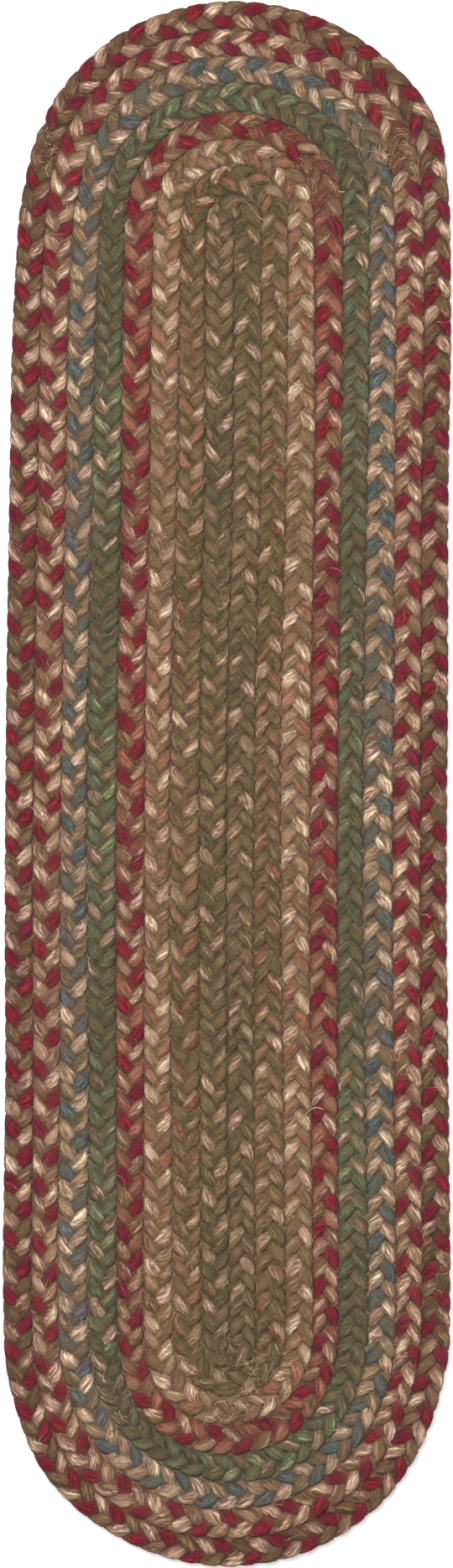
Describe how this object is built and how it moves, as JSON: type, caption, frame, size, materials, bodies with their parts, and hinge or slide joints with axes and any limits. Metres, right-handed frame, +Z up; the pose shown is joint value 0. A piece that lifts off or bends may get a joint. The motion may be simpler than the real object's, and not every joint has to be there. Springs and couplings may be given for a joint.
{
  "type": "braided rug",
  "caption": "Flat oval rug made of closed rings of thick wool braid laced side by side, ribbed on both faces, for a stair tread, a table top or a floor.",
  "frame": {"origin": "middle of the length and width, on the underside", "axes": "+X to the right and +Y to the upper end of the rug as pictured, +Z up out of its face"},
  "size_m": [0.2032, 0.7106, 0.009],
  "materials": {
    "braided_wool": "matte, slightly fuzzy wool"
  },
  "bodies": {
    "root": {"braided_rug": "braided_wool"}
  },
  "joints": []
}
